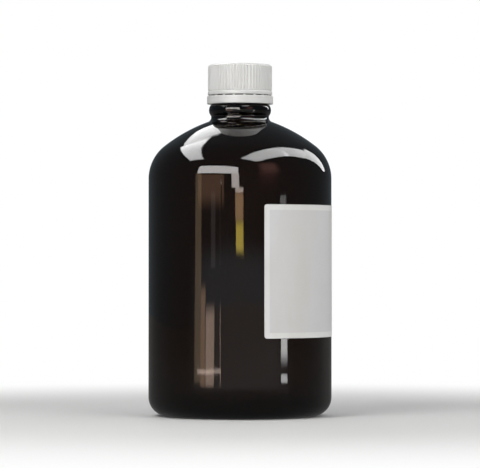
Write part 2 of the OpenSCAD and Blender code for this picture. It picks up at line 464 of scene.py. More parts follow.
def grip_ribs_tree():
    """Upright ribs that stand out of a round wall and fade out at both ends."""
    tree = ShapingTree("Grip Ribs", "Count", "Depth", "Wall Radius", "Bottom", "Top", "Fade")
    size = tree.inputs
    x, y, z = tree.here()
    r = tree.distance(x, y)
    rib = tree.ramp(tree.waves(x, y), -0.75, 0.45)
    rising = tree.ramp(z, size["Bottom"], tree.total(size["Bottom"], size["Fade"]))
    ending = tree.ramp(z, size["Top"], tree.minus(size["Top"], size["Fade"]))
    outside = tree.ramp(r, tree.minus(size["Wall Radius"], 0.9 * MM),
                        tree.minus(size["Wall Radius"], 0.1 * MM))
    height = tree.product(rib, outside, tree.product(rising, ending), size["Depth"])
    return tree.end(tree.outwards(x, y, r, height))


def rest_knurls_tree():
    """Radial knurls on the ring that a bottle stands on, cut upwards from its level."""
    tree = ShapingTree("Rest Knurls", "Count", "Depth", "Inner Radius", "Outer Radius")
    size = tree.inputs
    x, y, z = tree.here()
    groove = tree.ramp(tree.waves(x, y), 0.6, -0.9)
    across = tree.over(tree.minus(tree.distance(x, y), size["Inner Radius"]),
                       tree.minus(size["Outer Radius"], size["Inner Radius"]))
    inside = tree.product(tree.ramp(across, 0.0, 0.3), tree.ramp(across, 1.0, 0.7))
    cut = tree.product(tree.ramp(z, 0.6 * MM, 0.1 * MM), size["Depth"])
    offset = tree.vector(z=tree.product(groove, inside, cut))
    return tree.end(tree.moved(size["Geometry"], offset))


def bridge_row_tree():
    """Adds a ring of small waisted bridges to the mesh."""
    tree = ShapingTree("Bridge Row", "Count", "Radius", "Level", "Width", "Thickness", "Height")
    size = tree.inputs
    block = tree.node("GeometryNodeMeshCube", Vertices_X=5, Vertices_Y=5, Vertices_Z=5,
                      Size=tree.vector(size["Thickness"], size["Width"], size["Height"]))
    x, y, z = tree.here()
    near_middle = tree.minus(1.0, tree.product(tree("ABSOLUTE", z), tree.over(2.0, size["Height"])))
    pinch = tree.product(near_middle, near_middle, -0.35)  # a third narrower half way up
    waisted = tree.moved(block.outputs["Mesh"],
                         tree.vector(tree.product(x, pinch), tree.product(y, pinch)))
    circle = tree.node("GeometryNodeMeshCircle", Vertices=size["Count"], Radius=size["Radius"])
    places = tree.moved(circle.outputs["Mesh"], tree.vector(z=size["Level"]))
    x, y, _ = tree.here()
    facing = tree.node("FunctionNodeEulerToRotation", Euler=tree.vector(z=tree("ARCTAN2", y, x)))
    copies = tree.node("GeometryNodeInstanceOnPoints", Points=places, Instance=waisted,
                       Rotation=facing.outputs[0])
    both = tree.node("GeometryNodeJoinGeometry", Geometry=size["Geometry"])
    tree.feed(both.inputs["Geometry"], copies.outputs["Instances"])
    return tree.end(both.outputs[0])


# ---------------- finishes


class ShaderGroup(NodeWriter):
    """A shader node group with named outputs, and named inputs with their defaults."""

    def __init__(self, name, outputs, **inputs):
        super().__init__(bpy.data.node_groups.new(name, "ShaderNodeTree"))
        for title, default in inputs.items():
            self.socket(title.replace("_", " ")).default_value = default
        for title in outputs:
            self.socket(title, in_out="OUTPUT")
        self.inputs = self.node("NodeGroupInput").outputs
        self.outputs = self.node("NodeGroupOutput").inputs


def handling_group():
    """Where hands and cloths have been: a mask of smears, and one of settled dust."""
    group = ShaderGroup("Handling", ("Smears", "Dust"), Scale=40.0, Smears=0.5, Dust=0.5)
    scale, smears, dust = group.inputs[:3]
    broad = group.noise(scale, detail=4.0, roughness=0.6, stretch=(1.0, 1.0, 0.35))
    fine = group.noise(group.product(scale, 9.0), detail=3.0, roughness=0.65)
    streaks = group.total(0.6, group.product(fine, 0.8))
    touched = group.ramp(broad, 0.45, 0.75)
    group.feed(group.outputs["Smears"], group.product(touched, streaks, smears))
    _, _, up = group.split(group.read("ShaderNodeNewGeometry", "Normal"))
    specks = group.ramp(group.noise(group.product(scale, 60.0), detail=1.0), 0.58, 0.72)
    settled = group.total(0.35, group.product(specks, 0.65))
    group.feed(group.outputs["Dust"], group.product(group.ramp(up, 0.35, 0.95), settled, dust))
    return group.tree


def moulded_skin_group():
    """Height of a moulded surface: flow lines and a fine grain."""
    group = ShaderGroup("Moulded Skin", ("Height",), Grain_Scale=2500.0, Grain=0.4,
                        Flow_Scale=60.0, Flow=0.6)
    given = group.inputs
    grain = group.noise(given["Grain Scale"], roughness=0.6)
    flow = group.noise(given["Flow Scale"], detail=3.0, stretch=(1.0, 1.0, 0.4))
    group.feed(group.outputs["Height"], group.total(group.product(grain, given["Grain"]),
                                                    group.product(flow, given["Flow"])))
    return group.tree


def tinted(rgb, tint):
    """A colour times a number, or times one number for each part."""
    tint = tint if isinstance(tint, tuple) else (tint, tint, tint)
    return tuple(part * by for part, by in zip(rgb, tint))


class Finish(NodeWriter):
    """A material with one Principled shader, which can take in the shared groups."""

    def __init__(self, name, **values):
        self.material = bpy.data.materials.new(name)
        self.material.use_nodes = True
        super().__init__(self.material.node_tree)
        self.shader = self.tree.nodes["Principled BSDF"]
        self.output = self.tree.nodes["Material Output"].inputs
        for socket, value in values.items():
            self.give(socket.replace("_", " "), value)

    def give(self, socket, value):
        self.feed(self.shader.inputs[socket], value)

    def group(self, name, build, **values):
        """Outputs of a shared group, which is built when it is first used."""
        node = self.node("ShaderNodeGroup")
        node.node_tree = bpy.data.node_groups.get(name) or build()
        for socket, value in values.items():
            self.feed(node.inputs[socket], value)
        return node.outputs

    def handling(self, scale, smears, dust=0.0):
        """Masks of smears and of dust."""
        return self.group("Handling", handling_group, Scale=scale, Smears=smears, Dust=dust)[:2]

    def bump(self, height, distance, strength=1.0):
        node = self.node("ShaderNodeBump", Height=height, Distance=distance, Strength=strength)
        self.give("Normal", node.outputs["Normal"])


def amber_glass_finish():
    g = chosen("glass")
    finish = Finish("Amber glass", Base_Color=(*g.amber, 1.0), IOR=1.52, Transmission_Weight=1.0,
                    Metallic=0.0, Roughness=0.02)
    smears, dust = finish.handling(scale=26.0, smears=0.06, dust=0.05)
    finish.give("Roughness", finish.total(smears, dust, 0.018))
    swell = finish.noise(13.0, detail=0.0, roughness=0.4, stretch=(1.0, 1.0, 0.55))
    ripple = finish.noise(55.0, detail=0.0, stretch=(1.0, 1.0, 0.5))
    finish.bump(finish.total(swell, finish.product(ripple, 0.035)), 0.8 * MM)
    depth = finish.node("ShaderNodeVolumeAbsorption", Color=(*g.amber_depth, 1.0),
                        Density=g.density)
    finish.feed(finish.output["Volume"], depth.outputs["Volume"])
    return finish.material


def white_plastic_finish(name, smears, grain):
    white = tuple(chosen("closure").white)
    finish = Finish(name, IOR=1.49, Subsurface_Weight=0.12, Subsurface_Scale=1.5 * MM,
                    Subsurface_Radius=(1.0, 0.9, 0.8))
    smears, dust = finish.handling(scale=70.0, smears=smears, dust=0.4)
    grime = finish.mix(finish.product(smears, 0.5), white, tinted(white, (0.86, 0.84, 0.78)))
    dusty = finish.mix(finish.product(dust, 0.15), grime, (0.62, 0.60, 0.56))
    finish.give("Base Color", dusty)
    finish.give("Roughness", finish.total(finish.product(smears, 0.25), 0.34))
    skin = finish.group("Moulded Skin", moulded_skin_group, Grain=grain)
    finish.bump(skin["Height"], 0.06 * MM, strength=0.6)
    return finish.material


def foam_finish():
    foam = tuple(chosen("closure").foam)
    finish = Finish("Liner foam", IOR=1.45, Roughness=0.75)
    place = finish.read("ShaderNodeTexCoord", "Object")
    cells = finish.node("ShaderNodeTexVoronoi", Vector=place, Scale=2600.0).outputs["Distance"]
    finish.give("Base Color", finish.mix(cells, foam, tinted(foam, 1.12)))
    finish.bump(cells, 0.15 * MM, strength=0.7)
    return finish.material


def film_finish():
    finish = Finish("Liner film", IOR=1.35)
    smears, _ = finish.handling(scale=90.0, smears=0.5)
    finish.give("Base Color", finish.mix(smears, (0.84, 0.84, 0.83), (0.78, 0.77, 0.73)))
    finish.give("Roughness", finish.total(finish.product(smears, 0.3), 0.22))
    finish.bump(finish.noise(900.0, detail=3.0), 0.02 * MM, strength=0.5)
    return finish.material


def label_paper_finish():
    """Coated paper: a white border round a pale blank panel, from the label's map in metres."""
    l = chosen("label")
    paper = Finish("Label paper", IOR=1.45)
    place = paper.node("ShaderNodeUVMap")
    place.uv_map = "Paper"
    along, up, _ = paper.split(place.outputs["UV"])
    from_ends = paper.minus(label_arc() / 2, paper("ABSOLUTE", along))
    from_sides = paper.minus((l.top - l.foot) / 2, paper("ABSOLUTE", up))
    from_edge = paper("MINIMUM", from_ends, from_sides)
    printed = paper.ramp(from_edge, l.margin - 0.1 * MM, l.margin + 0.1 * MM)
    fibre = paper.noise(900.0, detail=5.0, roughness=0.7)
    cloud = paper.noise(60.0, detail=3.0, roughness=0.6)
    tone = paper.total(paper.product(fibre, 0.5), paper.product(cloud, 0.5))
    white = paper.mix(tone, tinted(l.white, 0.96), tinted(l.white, 1.03))
    panel = paper.mix(tone, tinted(l.panel, 0.95), tinted(l.panel, 1.04))
    smears, _ = paper.handling(scale=30.0, smears=0.35)
    aged = paper.mix(smears, paper.mix(printed, white, panel), (0.52, 0.50, 0.44))
    worn = paper.product(paper.ramp(from_edge, 0.9 * MM, 0.0), paper.ramp(cloud, 0.45, 0.6), 0.35)
    paper.give("Base Color", paper.mix(worn, aged, (0.45, 0.43, 0.38)))
    paper.give("Roughness", paper.total(paper.product(tone, 0.2), 0.42))
    paper.bump(paper.total(paper.product(fibre, 0.35), cloud), 0.05 * MM, strength=0.8)
    return paper.material


# ---------------- the pieces


MOULD_SEAMS = (0.0, math.pi)
SEAM_SHARPNESS = 1.6  # makes a seam about as wide as its width, half way up
SEAM_COLUMNS = (-1.6, -1.0, -0.5, 0.5, 1.0, 1.6)  # extra columns near a seam, in seam widths


def thread_start(lower=0.0):
    """Height at which the thread begins, or one that lies lower by a share of the pitch."""
    g, t = chosen("glass"), chosen("thread")
    return g.rim_height - t.drop - (t.turns + lower) * t.pitch


def cut_thread(piece, material, wall, depth, lower=0.0, slimmer=0.0):
    """Raises the thread on a wall. The cap's runs half way between the ridges of the glass."""
    t = chosen("thread")
    thread_ridge_tree().shape(piece, material, {
        "Wall Radius": wall, "Depth": depth, "Pitch": t.pitch, "Turns": t.turns,
        "Start": thread_start(lower), "Foot": t.foot - 2 * slimmer, "Crest": t.crest - slimmer,
        "Run In": t.run_in})


def glass_outline():
    """The whole section of the glass, from the middle of the underside to the middle of the floor
    inside, and the height at which the mould seams end."""
    g, t = chosen("glass"), chosen("thread")
    body, neck, bore, finish = g.body_radius, g.neck_radius, g.bore_radius, g.finish_radius
    heel, wall_top, round_off = g.heel_radius, g.wall_top, g.rim_round
    outer_slope, neck_slope = math.degrees(g.outer_slope), math.degrees(g.neck_slope)
    outer_sine, neck_sine = math.sin(g.outer_slope), math.sin(g.neck_slope)
    outer_cosine, neck_cosine = math.cos(g.outer_slope), math.cos(g.neck_slope)
    push_up_r = body - heel - g.rest_ring
    push_up_arc, push_up_half = bulge(2 * push_up_r, g.push_up)
    corner_x = body - g.shoulder_radius
    shoulder_out = corner_x + g.shoulder_radius * outer_sine
    shoulder_in = neck + g.neck_fillet * (1 - neck_sine)
    dome = (shoulder_out - shoulder_in) / (outer_sine - neck_sine)
    dome_x = shoulder_out - dome * outer_sine
    dome_z = wall_top + (g.shoulder_radius - dome) * outer_cosine
    neck_z = dome_z + (dome + g.neck_fillet) * neck_cosine
    ring_arc, ring_half = bulge(g.neck_ring, g.neck_ring_out)
    ring_z = neck_z + g.neck_plain
    ring_top = ring_z + g.neck_ring
    ledge = 0.7 * MM  # radius of the edges between neck ring and finish
    bead_arc, bead_half = bulge(g.lock_bead, g.lock_bead_out)
    bead_z = ring_top + g.lock_bead_foot
    thread_low = thread_start() - t.foot
    rim_z = g.rim_height - round_off
    heel_x = body - heel
    heel_in = heel - g.wall
    dome_in = dome - g.wall
    throat = (dome_x + dome_in * neck_sine - bore) / (1 - neck_sine)
    throat_z = dome_z + (dome_in + throat) * neck_cosine

    outside = arc(0, g.push_up - push_up_arc, push_up_arc, 90, 90 - push_up_half, 16)
    outside += straight((push_up_r, 0), (push_up_r + g.rest_ring, 0), 12)
    outside += arc(heel_x, heel, heel, -90, 0, 18)
    outside += straight((body, heel), (body, wall_top), 14)
    outside += arc(corner_x, wall_top, g.shoulder_radius, 0, 90 - outer_slope, 18)
    outside += arc(dome_x, dome_z, dome, 90 - outer_slope, 90 - neck_slope, 16)
    outside += arc(neck + g.neck_fillet, neck_z, g.neck_fillet, 270 - neck_slope, 180, 10)
    outside += arc(neck + g.neck_ring_out - ring_arc, ring_z + g.neck_ring / 2, ring_arc,
                   -ring_half, ring_half, 14)
    outside += arc(neck - ledge, ring_top - ledge * 0.2, ledge, 60, 90, 3)
    outside += arc(finish + ledge, ring_top + ledge * 0.8, ledge, 270, 180, 5)
    outside += arc(finish + g.lock_bead_out - bead_arc, bead_z + g.lock_bead / 2,
                   bead_arc, -bead_half, bead_half, 16)
    outside += straight((finish, bead_z + g.lock_bead), (finish, thread_low), 4)
    outside += [(finish, thread_low)]
    outside += straight((finish, thread_low), (finish, rim_z), THREAD_ROWS)
    outside += arc(finish - round_off, rim_z, round_off, 0, 90, 8)

    inside = arc(bore + round_off, rim_z, round_off, 90, 180, 8)
    inside += straight((bore, rim_z), (bore, throat_z), 6)
    inside += arc(bore + throat, throat_z, throat, 180, 270 - neck_slope, 10)
    inside += arc(dome_x, dome_z, dome_in, 90 - neck_slope, 90 - outer_slope, 8)
    inside += arc(corner_x, wall_top, g.shoulder_radius - g.wall, 90 - outer_slope, 0, 12)
    inside += straight((body - g.wall, wall_top), (body - g.wall, g.base + heel_in), 8)
    inside += arc(heel_x, g.base + heel_in, heel_in, 0, -90, 12)
    inside += arc(0, g.base + g.push_up - push_up_arc, push_up_arc, 90 - push_up_half, 90, 10)
    return outside + inside, bead_z


class BOTTLE_OT_glass(bpy.types.Operator):
    """Turn the glass, with its thread, mould seams and knurled rest ring"""

    bl_idname = "bottle.glass"
    bl_label = "Glass"

    def execute(self, context):
        g = chosen("glass")
        outline, seam_top = glass_outline()
        width = g.seam_width / g.body_radius

        def with_seams(r, z, a):
            outer = r > g.bore_radius + g.wall and z > g.heel_radius / 2
            inner_wall = r < g.body_radius - 0.5 * g.wall and z < g.wall_top
            if not outer or inner_wall or z > seam_top:
                return r
            away = min(abs((a - seam + math.pi) % TAU - math.pi) for seam in MOULD_SEAMS)
            return r + g.seam_out * math.exp(-(away / (width / SEAM_SHARPNESS)) ** 2)

        near_seams = [(seam + width * side) % TAU for seam in MOULD_SEAMS for side in SEAM_COLUMNS]
        piece = revolve("amber_glass_bottle", outline,
                        sorted(even_columns(GLASS_COLUMNS) + near_seams), shape=with_seams)
        material = amber_glass_finish()
        cut_thread(piece, material, g.finish_radius, chosen("thread").depth)
        rest_out, past_ring = g.body_radius - g.heel_radius, 1.5 * MM
        rest_knurls_tree().shape(piece, material, {
            "Count": g.knurl_count, "Depth": g.knurl_depth, "Inner Radius": rest_out - g.rest_ring,
            "Outer Radius": rest_out + past_ring})
        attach(piece, "bottle")
        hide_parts("glass_bottle")
        return {"FINISHED"}


def cap_bore():
    """Radius of the cap's inside, in front of the thread crests of the glass."""
    g, t = chosen("glass"), chosen("thread")
    return g.finish_radius + t.depth + t.gap


def rib_root():
    """Radius of the cap at the foot of its ribs."""
    c = chosen("closure")
    return c.cap_radius - c.rib_step - c.rib_depth


def cap_outline():
    """Section of the cap: from the middle of its ceiling down the inside, then up the outside to
    the middle of the top, with its shallow dish and small gate mark."""
    t, c = chosen("thread"), chosen("closure")
    soft = 0.35 * MM
    root, bore = rib_root(), cap_bore()
    ceiling = c.cap_top - c.top_plate
    bead = 0.32 * MM  # keeps the liner in
    bead_z = lowest("liner_facing") - 0.6 * MM
    clear_of_bead = 0.45 * MM
    thread_low = thread_start(lower=0.5) - t.foot
    inside = [(0.0, ceiling), (8 * MM, ceiling)]
    inside += arc(bore - soft, ceiling - soft, soft, 90, 0, 4)
    inside += straight((bore, ceiling - soft), (bore, bead_z + clear_of_bead), 3)
    inside += arc(bore, bead_z, bead, 90, 270, 8)
    inside += straight((bore, bead_z - clear_of_bead), (bore, thread_low), THREAD_ROWS)
    inside += straight((bore, thread_low), (bore, c.cap_foot + soft), 6)
    inside += arc(bore + soft, c.cap_foot + soft, soft, 180, 270, 5)

    band_top = c.cap_foot + c.band
    step = soft * 0.8
    dish_z = c.cap_top - c.dish
    lip = root - c.edge_radius - 1.2 * MM
    gate = 1.6 * MM
    gate_mark = ((0.5 * MM, 0.30 * MM), (0.0, 0.22 * MM))  # radius and height
    outside = arc(c.cap_radius - soft, c.cap_foot + soft, soft, -90, 0, 5)
    outside += arc(c.cap_radius - soft, band_top - soft, soft, 0, 90, 5)
    outside += arc(root + step, band_top + step, step, 270, 180, 4)
    outside += straight((root, band_top + soft), (root, c.cap_top - c.edge_radius), 26)
    outside += arc(root - c.edge_radius, c.cap_top - c.edge_radius, c.edge_radius, 0, 90, 10)
    outside += arc(lip, dish_z, c.dish, 90, 180, 4)
    outside += straight((lip - c.dish, dish_z), (gate, dish_z), 10)
    outside += [(r, dish_z + up) for r, up in gate_mark]
    return inside + outside


class BOTTLE_OT_cap(bpy.types.Operator):
    """Turn the cap, with its grip ribs and inner thread"""

    bl_idname = "bottle.cap"
    bl_label = "Screw cap"

    def execute(self, context):
        c = chosen("closure")
        columns = even_columns(c.rib_count * COLUMNS_PER_RIB)
        piece = revolve("screw_cap_shell", cap_outline(), columns)
        material = white_plastic_finish("Cap plastic", smears=0.5, grain=0.4)
        edge, fade = 0.3 * MM, 1.0 * MM
        grip_ribs_tree().shape(piece, material, {
            "Count": c.rib_count, "Depth": c.rib_depth, "Wall Radius": rib_root(),
            "Bottom": c.cap_foot + c.band, "Top": c.cap_top - edge, "Fade": fade})
        cut_thread(piece, material, cap_bore(), -chosen("thread").depth, 0.5, slimmer=0.2 * MM)
        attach(piece, "cap")
        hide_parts("screw_cap")
        return {"FINISHED"}


class BOTTLE_OT_liner(bpy.types.Operator):
    """Turn the foam disc and its facing film, which has taken the print of the rim"""

    bl_idname = "bottle.liner"
    bl_label = "Liner"

    def execute(self, context):
        g, r = chosen("glass"), chosen("closure").liner_radius
        low, high = lowest("liner_foam"), highest("liner_foam")
        soft = 0.3 * MM
        section = [(0, low)] + straight((0, low), (r - soft, low), 6)
        section += arc(r - soft, low + soft, soft, -90, 0, 5)
        section += arc(r - soft, high - soft, soft, 0, 90, 5)
        section += straight((r - soft, high), (0, high), 6) + [(0, high)]
        foam = revolve("liner_foam_disc", section, even_columns(LINER_COLUMNS))
        foam.data.materials.append(foam_finish())
        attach(foam, "cap")
        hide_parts("liner_foam")

        low, high = lowest("liner_facing"), highest("liner_facing")
        lower_edge, upper_edge = 0.05 * MM, 0.03 * MM
        inset, slope, press = 0.8 * MM, 0.4 * MM, 0.08 * MM  # of the print of the rim
        print_in, print_out, pressed = g.bore_radius + inset, g.finish_radius - inset, low + press
        section = [(0, low)] + straight((0, low), (print_in - slope, low), 8)
        section += [(print_in - slope, low), (print_in, pressed)]
        section += straight((print_in, pressed), (print_out, pressed), 4)
        section += [(print_out, pressed), (print_out + slope, low), (r - lower_edge, low)]
        section += [(r, low + lower_edge), (r, high - upper_edge)]
        section += [(r - upper_edge, high), (0, high)]
        film = revolve("liner_facing_film", section, even_columns(LINER_COLUMNS))
        film.data.materials.append(film_finish())
        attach(film, "cap")
        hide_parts("liner_facing")
        return {"FINISHED"}


class BOTTLE_OT_tamper_ring(bpy.types.Operator):
    """Turn the tamper ring and set its row of bridges"""

    bl_idname = "bottle.tamper_ring"
    bl_label = "Tamper ring"

    def execute(self, context):
        c = chosen("closure")
        soft, fine = 0.5 * MM, 0.15 * MM
        sunk = 0.2 * MM  # how deep the bridges stand in the ring
        top = c.cap_foot - c.bridge_height
        lip_top = c.ring_foot + c.lip_height
        section = arc(c.ring_radius - soft, c.ring_foot + soft, soft, -90, 0, 6)
        section += straight((c.ring_radius, c.ring_foot + soft), (c.ring_radius, top - soft), 5)
        section += arc(c.ring_radius - soft, top - soft, soft, 0, 90, 6)
        section += arc(c.ring_bore + fine, top - fine, fine, 90, 180, 3)
        section += [(c.ring_bore, lip_top + (c.ring_bore - c.lip_radius))]
        section += arc(c.lip_radius + fine, lip_top - fine, fine, 135, 180, 3)
        section += arc(c.lip_radius + fine, c.ring_foot + fine, fine, 180, 270, 3)
        piece = revolve("tamper_ring_band", section, even_columns(RING_COLUMNS), closed=True)
        material = white_plastic_finish("Ring plastic", smears=0.7, grain=0.5)
        bridge_row_tree().shape(piece, material, {
            "Count": c.bridge_count, "Radius": (c.ring_bore + c.cap_radius) / 2,
            "Level": top + (c.bridge_height - sunk) / 2, "Width": c.bridge_width,
            "Thickness": c.bridge_thickness, "Height": c.bridge_height + sunk})
        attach(piece, "tamper_ring")
        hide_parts("tamper_ring")
        return {"FINISHED"}


def label_arc():
    """Length of the label round the body."""
    l = chosen("label")
    return 2 * l.radius * math.asin(min(1.0, l.half_width / l.radius))


def label_lift(u, v, half_arc, half_height):
    """How far the paper stands off the glass: sprung edges and a few shallow blisters."""
    sprung_end, sprung_side = 5 * MM, 4 * MM
    waves, blisters = 45, 60  # per metre
    near_end = max(0.0, 1 - (half_arc - abs(u)) / sprung_end) ** 2
    near_side = max(0.0, 1 - (half_height - abs(v)) / sprung_side) ** 2
    wave = 0.5 + 0.5 * noise.noise(Vector((u * waves, v * waves, 0.3)))
    swell = max(0.0, noise.noise(Vector((u * blisters, v * blisters, 7.1))) - 0.35)
    return chosen("label").lift * wave * max(near_end, near_side * 0.6) + swell * 0.12 * MM


def sheet_faces(columns, rows):
    """Faces of a closed sheet: its outer side, its inner side and the edges between them."""
    side_size = (columns + 1) * (rows + 1)

    def at(side, i, j):
        return side * side_size + j * (columns + 1) + i

    faces = []
    for j in range(rows):
        for i in range(columns):
            faces.append((at(0, i, j), at(0, i + 1, j), at(0, i + 1, j + 1), at(0, i, j + 1)))
            faces.append((at(1, i, j), at(1, i, j + 1), at(1, i + 1, j + 1), at(1, i + 1, j)))
    for j in range(rows):
        for i in (0, columns):
            faces.append((at(0, i, j), at(0, i, j + 1), at(1, i, j + 1), at(1, i, j)))
    for i in range(columns):
        for j in (0, rows):
            faces.append((at(0, i, j), at(1, i, j), at(1, i + 1, j), at(0, i + 1, j)))
    return faces


class BOTTLE_OT_label(bpy.types.Operator):
    """Lay the paper label round the body, with its edges a little off the glass"""

    bl_idname = "bottle.label"
    bl_label = "Label"

    def execute(self, context):
        l = chosen("label")
        half_arc, half_height = label_arc() / 2, (l.top - l.foot) / 2
        verts, places = [], []
        for side in (0, 1):
            for j in range(LABEL_ROWS + 1):
                v = -half_height * math.cos(math.pi * j / LABEL_ROWS)
                in_corner = max(0.0, l.corner - (half_height - abs(v)))
                cut = l.corner - math.sqrt(max(0.0, l.corner ** 2 - in_corner ** 2))
                for i in range(LABEL_COLUMNS + 1):
                    u = -math.cos(math.pi * i / LABEL_COLUMNS) * (half_arc - cut)
                    r = l.radius - l.paper * side + label_lift(u, v, half_arc, half_height)
                    a = u / l.radius - math.pi / 2
                    verts.append((r * math.cos(a), r * math.sin(a), (l.top + l.foot) / 2 + v))
                    places.append((u, v))
        mesh = bpy.data.meshes.new("paper_label_sheet")
        mesh.from_pydata(verts, [], sheet_faces(LABEL_COLUMNS, LABEL_ROWS))
        uv = mesh.uv_layers.new(name="Paper")
        for loop in mesh.loops:
            uv.data[loop.index].uv = places[loop.vertex_index]
        piece = finished("paper_label_sheet", mesh)
        piece.data.materials.append(label_paper_finish())
        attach(piece, "bottle")
        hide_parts("paper_label")
        return {"FINISHED"}


# ---------------- the stage


# Boxes that light the bottle: place (right, near, up) and radiance
SOFT_BOX_SIZE, SOFT_BOX_AIM = (0.9, 0.9), 0.12
SOFT_BOXES = (
    ("key", (-0.85, 0.94, 1.26), 5.2),
    ("fill", (1.20, 1.15, 0.80), 4.3),
)

# Lamps under the ceiling: near and far end (right, near), width and radiance
CEILING = 1.4
CEILING_STRIPS = (
    ("ceiling_left_near", (-1.38, 0.53), (-0.645, -0.89), 0.62, 8.4),
    ("ceiling_left_far", (-0.54, -0.84), (-0.24, -1.83), 0.60, 5.0),
    ("ceiling_right_near", (0.33, 1.17), (0.90, -0.08), 0.66, 7.4),
    ("ceiling_right_middle", (0.88, -0.04), (1.47, -0.78), 0.74, 6.4),
    ("ceiling_right_far", (1.38, -0.85), (6.18, -5.95), 0.90, 5.4),
)
CEILING_FADE = (0.16, 0.06)

# Upright lamps: left and right side in degrees to the camera's right, foot and top, radiance,
# tint, width of the soft edges up and down and sideways, distance from the wall
FADE = (0.003, 0.010)
UPRIGHT_PANELS = (
    ("window_lintel", (-58, -0.8), (0.270, 0.475), 8.8, (1.0, 0.96, 0.95)),
    ("window_post", (-58.6, -49.6), (0.010, 0.270), 1.15, (1.0, 0.70, 0.42)),
    ("brown_pane", (-56, -19), (0.164, 0.240), 1.0, (1.0, 0.56, 0.34), (0.018, 0.010), 0.52),
    ("glazing_bar", (-37.3, -31.1), (0.105, 0.172), 0.32, (1.0, 0.85, 0.85)),
    ("bright_post", (-11.0, -0.8), (0.1825, 0.268), 7.0, (1.0, 0.90, 0.86)),
    ("bright_post_foot", (-6.5, 4.6), (0.1745, 0.1825), 6.4, (1.0, 0.86, 0.76)),
    ("orange_glow", (-6.5, 4.6), (0.148, 0.174), 3.8, (1.0, 0.60, 0.32), (0.009, 0.010)),
    ("amber_glow", (-5.6, 4.6), (0.119, 0.146), 6.4, (1.0, 0.76, 0.13), (0.011, 0.010)),
    ("shelf_glow", (27.0, 52.0), (0.300, 0.560), 0.85, (1.0, 0.47, 0.38), (0.16, 0.12)),
    ("shelf_glow_low", (25.0, 48.0), (0.195, 0.300), 0.30, (1.0, 0.36, 0.30), (0.04, 0.12)),
    ("board_edge", (-50.2, -43.7), (0.004, 0.088), 2.2, (1.0, 0.62, 0.38), (0.016, 0.010)),
    ("board", (-43.7, -31.7), (0.004, 0.070), 3.5, (1.0, 0.72, 0.56), (0.016, 0.010)),
    ("bench_edge", (-56, -23), (0.0185, 0.0225), 4.8, (1.0, 0.80, 0.70), FADE, 0.47),
    ("tube", (51.6, 61.4), (0.028, 0.120), 8.4, WHITE, (0.020, 0.010)),
    ("tube_end", (51.6, 61.4), (0.007, 0.014), 7.2),
    ("tube_top", (52.0, 61.0), (0.163, 0.1725), 1.8),
)


def on_stage(right, near, up):
    """A place given from the bottle's axis: to the camera's right, towards the camera, and up."""
    s = chosen("stage")
    across = Vector((math.cos(s.azimuth), math.sin(s.azimuth), 0))
    towards = Vector((math.sin(s.azimuth), -math.cos(s.azimuth), 0))
    return across * right + towards * near + Vector((0, 0, up))


def fade_edges(lamp, shares):
    """Lets a lamp fade out towards its edges, over a share of its length and one of its width."""
    lamp.use_nodes = True
    tree = NodeWriter(lamp.node_tree)
    fades = []
    for place, share in zip(tree.split(tree.read("ShaderNodeNewGeometry", "Parametric")), shares):
        from_edge = tree.minus(0.5, tree("ABSOLUTE", tree.minus(place, 0.5)))
        fades.append(tree.ramp(from_edge, 0.0, max(share, 1e-4)))
    tree.feed(lamp.node_tree.nodes["Emission"].inputs["Strength"], tree.product(*fades))


def light_panel(name, place, target, along, size, radiance, tint=WHITE, soft=None, mirrored=True):
    """A rectangular lamp that faces a target, its long side along a direction. It is only
    mirrored in surfaces, or only lights them. Half of each soft edge lies outside the size, and
    each lamp stands a little behind the one before, so that edges which overlap add up."""
    lamp = bpy.data.lights.new(name, "AREA")
    lamp.shape = "RECTANGLE"
    if soft:
        size = [side + fade for side, fade in zip(size, soft)]
        fade_edges(lamp, [fade / side for side, fade in zip(size, soft)])
    lamp.size, lamp.size_y = size
    lamp.energy = radiance * math.pi * size[0] * size[1]
    lamp.color = tint
    back = (place - target).normalized()
    side = (along - back * along.dot(back)).normalized()
    box = added(name, lamp)
    box.matrix_world = Matrix((side, back.cross(side), back)).transposed().to_4x4()
    box.location = place + back * len(bpy.data.lights) * MM
    box.visible_camera = False
    box.visible_transmission = False
    box.visible_diffuse = not mirrored
    box.visible_glossy = mirrored


def ceiling_strip(name, near_end, far_end, width, radiance):
    """A long lamp under the ceiling, seen only as a reflection."""
    start, end = on_stage(*near_end, CEILING), on_stage(*far_end, CEILING)
    middle = (start + end) / 2
    light_panel(name, middle, middle - Vector((0, 0, 1)), end - start,
                ((end - start).length, width), radiance, soft=CEILING_FADE)


def upright_panel(name, sides, levels, radiance, tint=WHITE, soft=FADE, away=0.5):
    """An upright lamp seen only as a reflection in the wall, between two directions."""
    (left, right), (foot, top) = sides, levels
    turn, half = math.radians((left + right) / 2), math.radians(right - left) / 2
    wall = reach("glass_bottle")
    across = wall * math.sin(turn / 2) + away * math.sin(turn)
    near = wall * math.cos(turn / 2) + away * math.cos(turn)
    middle = (foot + top) / 2
    light_panel(name, on_stage(across, near, middle), on_stage(0, 0, middle), Vector((0, 0, 1)),
                (top - foot, 2 * away * math.tan(half)), radiance, tint, soft)


def lamps():
    """Two boxes that light the bottle, and the lamps that its glass only mirrors."""
    aim, sideways = on_stage(0, 0, SOFT_BOX_AIM), on_stage(1, 0, 0)
    for name, place, radiance in SOFT_BOXES:
        light_panel(name, on_stage(*place), aim, sideways, SOFT_BOX_SIZE, radiance, mirrored=False)
    for strip in CEILING_STRIPS:
        ceiling_strip(*strip)
    for panel in UPRIGHT_PANELS:
        upright_panel(*panel)


def ahead(tree, x, y):
    """How far a direction points away from the camera, from its x and y."""
    s = chosen("stage")
    return tree.minus(tree.product(y, math.cos(s.azimuth)), tree.product(x, math.sin(s.azimuth)))


